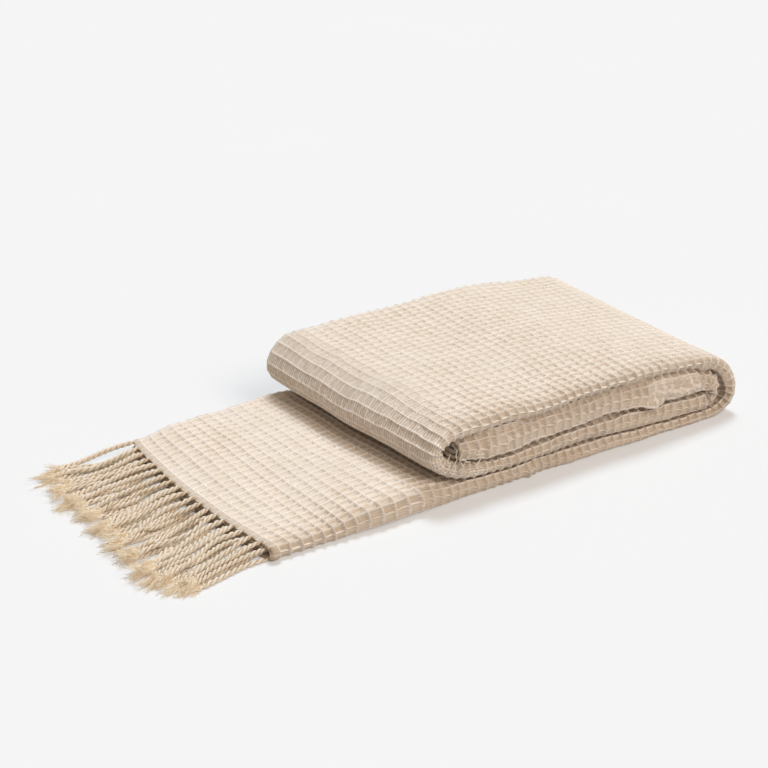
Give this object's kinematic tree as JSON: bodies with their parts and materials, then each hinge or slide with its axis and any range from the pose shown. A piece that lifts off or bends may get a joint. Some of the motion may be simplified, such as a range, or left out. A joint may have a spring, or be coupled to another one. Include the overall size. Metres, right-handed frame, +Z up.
{
  "type": "folded throw blanket",
  "caption": "Waffle-weave cotton throw with a twisted fringe, folded lengthwise and laid back and forth in a low stack with its fringed end left out in front.",
  "frame": {"origin": "centre of the bounding box, on the surface that the throw rests on", "axes": "+X along the length of the stack, away from the fringe; +Y across the width, away from the rounded near edges; +Z up"},
  "size_m": [0.8088, 0.32, 0.103],
  "materials": {
    "cotton_waffle": "matt natural beige cotton in a waffle weave",
    "cotton_fringe": "matt natural beige cotton yarn, twisted"
  },
  "bodies": {
    "root": {"blanket": "cotton_waffle", "fringe": "cotton_fringe"}
  },
  "joints": []
}
